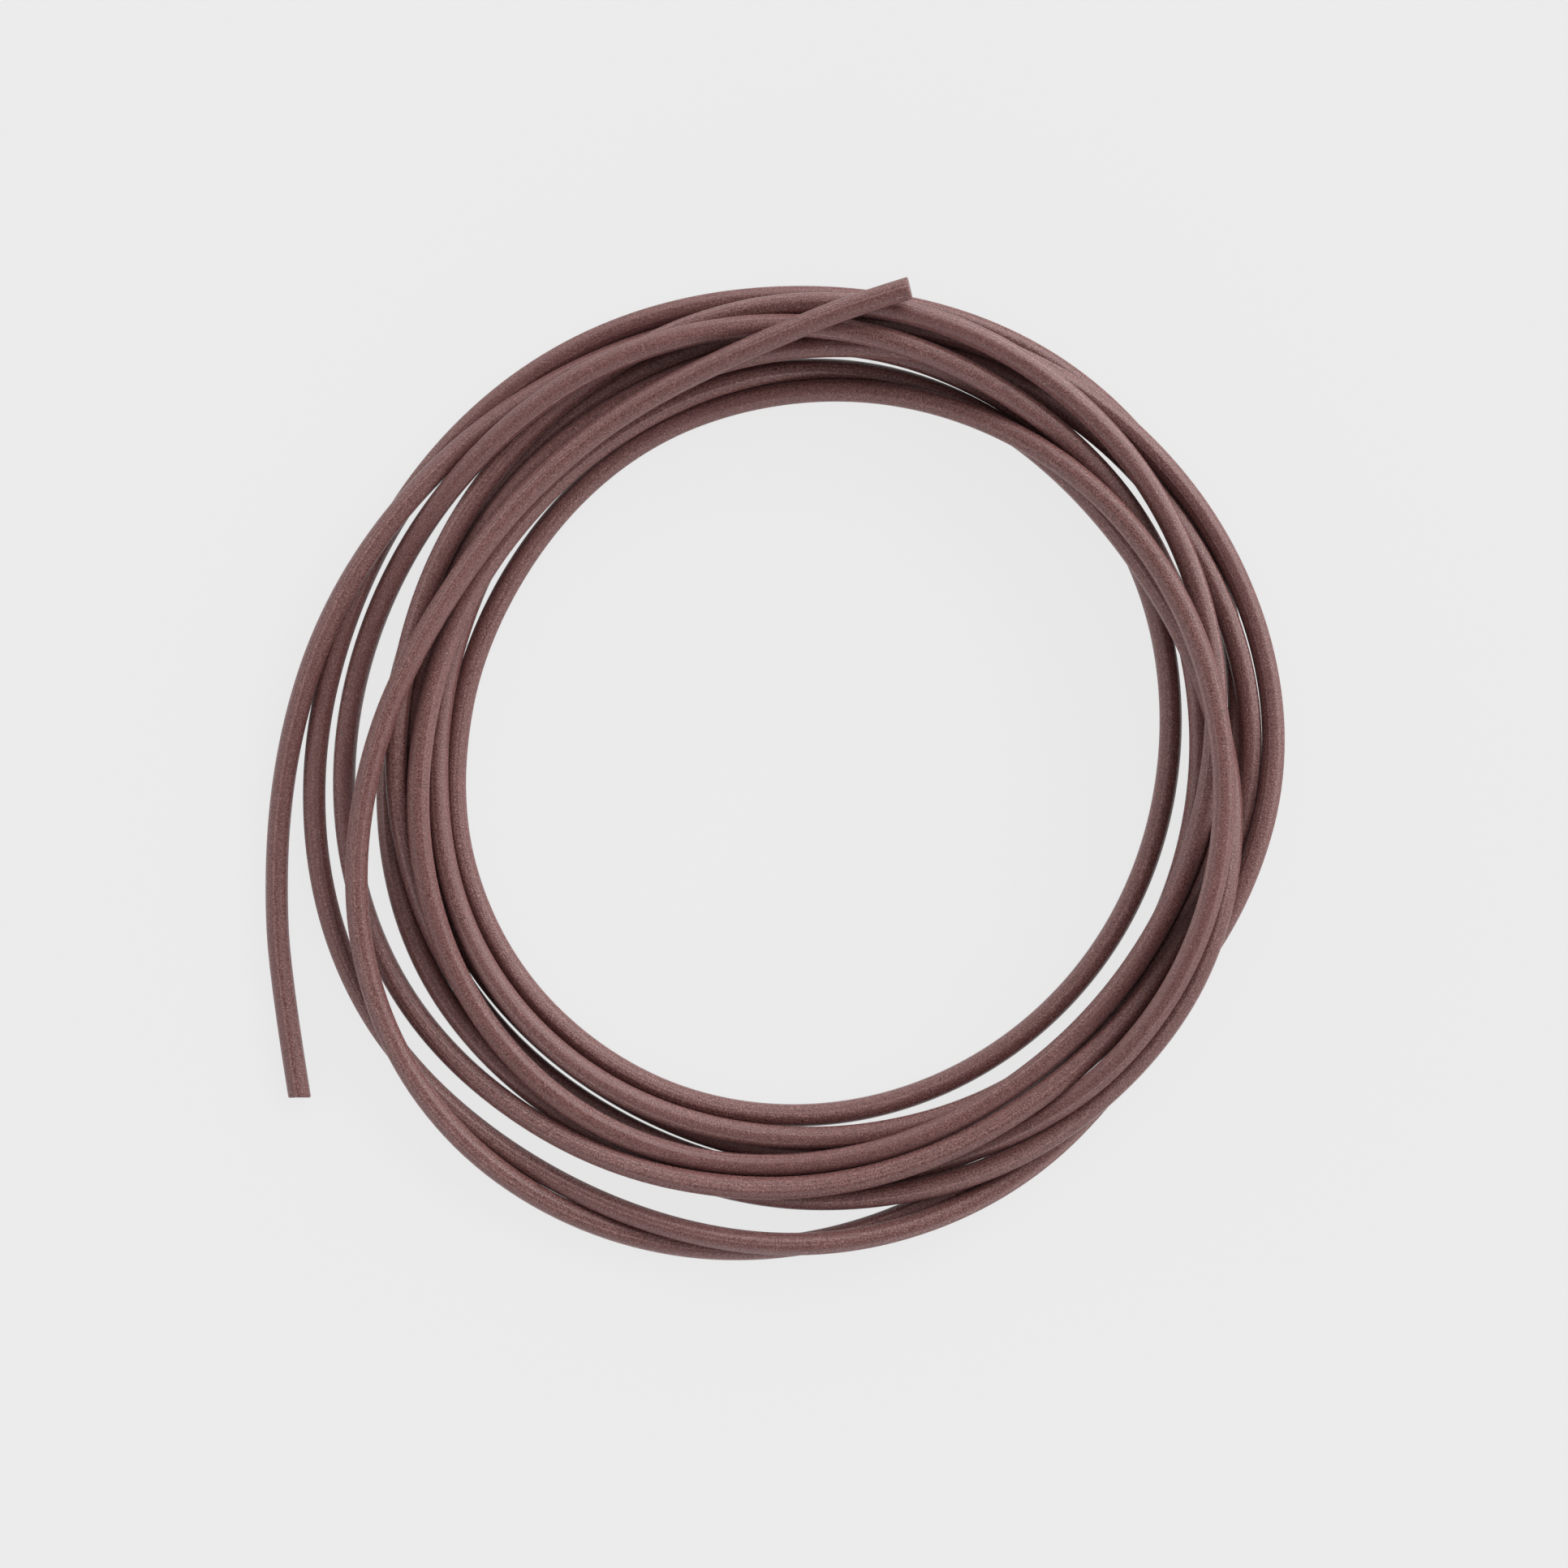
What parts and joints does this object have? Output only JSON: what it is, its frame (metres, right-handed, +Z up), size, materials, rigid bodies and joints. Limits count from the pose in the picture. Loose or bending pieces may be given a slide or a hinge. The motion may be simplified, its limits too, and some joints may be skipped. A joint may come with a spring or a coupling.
{
  "type": "flexible cord",
  "caption": "Plain round flexible brown cord laid down as one loose round coil, with both cut ends free.",
  "frame": {"origin": "on the plane the cord lies on, under the centre of the whole object's box", "axes": "+Z up, out of the plane the cord lies on; +Y towards the side where the upper free end leaves the coil; +X to the right as seen from above"},
  "size_m": [0.251, 0.2423, 0.0228],
  "materials": {
    "cord": "matte brown"
  },
  "bodies": {
    "root": {"coil": "cord", "lower_free_end": "cord", "upper_free_end": "cord"}
  },
  "joints": []
}
